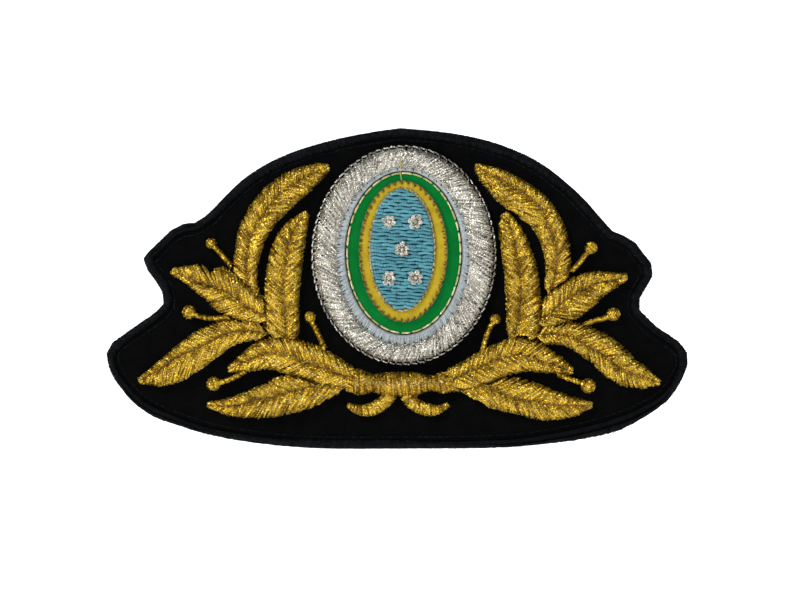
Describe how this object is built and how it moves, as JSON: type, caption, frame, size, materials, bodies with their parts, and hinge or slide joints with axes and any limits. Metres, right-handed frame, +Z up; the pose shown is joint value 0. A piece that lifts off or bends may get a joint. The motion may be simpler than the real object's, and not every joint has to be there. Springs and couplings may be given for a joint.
{
  "type": "cap badge",
  "caption": "Stiffened black felt cap badge with a bound edge, raised gold satin-stitch leaf branches, a knot, and an oval medallion sewn on the middle",
  "frame": {"origin": "middle of the flat back face, which is sewn to the cap", "axes": "+Z up as worn, +X to the viewer's right, +Y into the cap, so the embroidered face looks along -Y"},
  "size_m": [0.1104, 0.0054, 0.0608],
  "materials": {
    "face_felt": "black wool felt, matt",
    "binding": "black thread overcast edge, slight sheen",
    "backing": "black woven lining, matt",
    "stiffener": "undyed buckram board",
    "padding": "yellow felt padding, hidden under the satin stitches",
    "gold_thread": "gold metallic satin stitch, glittering",
    "gold_stitch": "gold metallic running stitch",
    "silver_thread": "silver metallic satin stitch, glittering",
    "silver_stitch": "silver metallic running stitch",
    "pale_thread": "pale grey-blue satin stitch with silver filament",
    "green_cloth": "green satin cloth",
    "yellow_cloth": "yellow satin-stitched cloth",
    "blue_thread": "light blue rayon fill stitch"
  },
  "bodies": {
    "root": {"backing_cloth": "backing", "berry_left_bottom": "gold_thread", "berry_left_inner": "gold_thread", "berry_left_side": "gold_thread", "berry_left_top": "gold_thread", "berry_right_bottom": "gold_thread", "berry_right_inner": "gold_thread", "berry_right_side": "gold_thread", "berry_right_top": "gold_thread", "blue_field": "blue_thread", "bound_edge": "binding", "edge_seam": "binding", "face_felt": "face_felt", "field_edge_stitch": "gold_stitch", "green_edge_stitch": "gold_stitch", "green_oval": "green_cloth", "knot": "gold_thread", "knot_pad": "padding", "leaf_left_bottom": "gold_thread", "leaf_left_bottom_pad": "padding", "leaf_left_inner": "gold_thread", "leaf_left_inner_pad": "padding", "leaf_left_lower": "gold_thread", "leaf_left_lower_pad": "padding", "leaf_left_middle": "gold_thread", "leaf_left_middle_pad": "padding", "leaf_left_outer": "gold_thread", "leaf_left_outer_pad": "padding", "leaf_left_side": "gold_thread", "leaf_left_side_pad": "padding", "leaf_right_bottom": "gold_thread", "leaf_right_bottom_pad": "padding", "leaf_right_inner": "gold_thread", "leaf_right_inner_pad": "padding", "leaf_right_lower": "gold_thread", "leaf_right_lower_pad": "padding", "leaf_right_middle": "gold_thread", "leaf_right_middle_pad": "padding", "leaf_right_outer": "gold_thread", "leaf_right_outer_pad": "padding", "leaf_right_side": "gold_thread", "leaf_right_side_pad": "padding", "medallion_ground": "face_felt", "pale_ring": "pale_thread", "rim_stitch": "silver_stitch", "rosette_1": "silver_thread", "rosette_2": "silver_thread", "rosette_3": "silver_thread", "rosette_4": "silver_thread", "rosette_5": "silver_thread", "silver_ring": "silver_thread", "silver_ring_pad": "padding", "stiffener": "stiffener", "tendril_left": "gold_thread", "tendril_right": "gold_thread", "yellow_edge_stitch": "gold_stitch", "yellow_oval": "yellow_cloth"}
  },
  "joints": []
}
